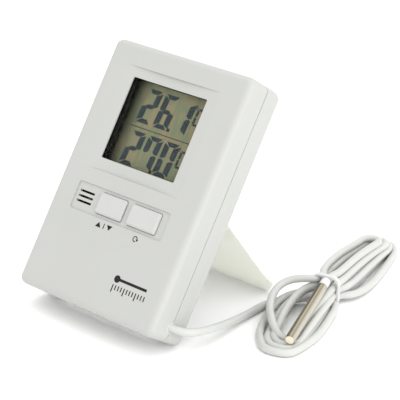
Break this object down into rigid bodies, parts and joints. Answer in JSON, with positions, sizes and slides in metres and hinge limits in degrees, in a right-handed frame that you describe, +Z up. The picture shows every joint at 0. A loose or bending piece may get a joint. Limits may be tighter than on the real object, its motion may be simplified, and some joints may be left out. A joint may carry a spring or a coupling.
{
  "type": "digital max/min thermometer with wired probe",
  "caption": "Digital indoor and outdoor max/min thermometer on a fold-out rear leg, with push buttons, a battery door and a metal probe on a tied lead.",
  "frame": {"origin": "on the table, under the middle of the standing thermometer without its lead", "axes": "+X to the right seen from the front, +Y to the back, +Z up; the case leans back 33 degrees on its open leg"},
  "size_m": [0.1078, 0.1506, 0.1],
  "materials": {
    "case_plastic": "satin",
    "leg_plastic": "satin",
    "clear_lens": "clear",
    "lcd_glass": "satin",
    "black_plastic": "matte",
    "conductive_rubber": "matte",
    "board_green": "satin",
    "black_resin": "satin",
    "ceramic_parts": "matte",
    "plated_steel": "satin",
    "sensor_resin": "gloss",
    "button_plastic": "satin",
    "battery_wrap": "gloss",
    "red_wire": "satin",
    "black_wire": "satin",
    "white_wire": "satin",
    "zinc_screws": "satin",
    "lead_pvc": "satin",
    "tie_plastic": "satin",
    "probe_metal": "polished",
    "cream_resin": "satin",
    "sleeve_pvc": "satin"
  },
  "bodies": {
    "housing": {"front_cover": "case_plastic", "rear_cover": "case_plastic", "display_lens": "clear_lens", "lcd_panel": "lcd_glass", "lcd_frame": "black_plastic", "zebra_connectors": "conductive_rubber", "circuit_board": "board_green", "controller_blob": "black_resin", "board_parts": "ceramic_parts", "quartz_crystal": "plated_steel", "air_sensor": "sensor_resin", "switch_bodies": "black_plastic", "battery_cell": "battery_wrap", "battery_cap": "plated_steel", "contact_plate": "plated_steel", "contact_spring": "plated_steel", "sensor_wires": "white_wire", "case_screws": "zinc_screws", "board_screws": "zinc_screws", "lead_bush": "lead_pvc", "wire_positive": "red_wire", "wire_negative": "black_wire", "probe_lead": "lead_pvc", "lead_hank": "lead_pvc", "cable_tie": "tie_plastic", "probe_tube": "probe_metal", "probe_end_seal": "cream_resin", "probe_sleeve": "sleeve_pvc", "probe_sensor": "sensor_resin"},
    "leg": {"stand_leg": "leg_plastic"},
    "max_min_button": {"button_max_min": "button_plastic", "switch_stem_max_min": "black_plastic"},
    "clear_button": {"button_clear": "button_plastic", "switch_stem_clear": "black_plastic"},
    "door": {"battery_door": "case_plastic"}
  },
  "joints": [
    {"name": "leg_fold", "type": "hinge", "parent": "housing", "child": "leg", "pos_m": [0, 0.01153, 0.0579], "axis": [-1, 0, 0], "range_deg": [0, 58.6]},
    {"name": "max_min_press", "type": "slide", "parent": "housing", "child": "max_min_button", "axis": [0, 0.8387, -0.5446], "range_m": [0, 0.0006], "stiffness_N_per_m": 1500},
    {"name": "clear_press", "type": "slide", "parent": "housing", "child": "clear_button", "axis": [0, 0.8387, -0.5446], "range_m": [0, 0.0006], "stiffness_N_per_m": 1500},
    {"name": "door_slide", "type": "slide", "parent": "housing", "child": "door", "axis": [0, -0.5446, -0.8387], "range_m": [0, 0.02]}
  ]
}
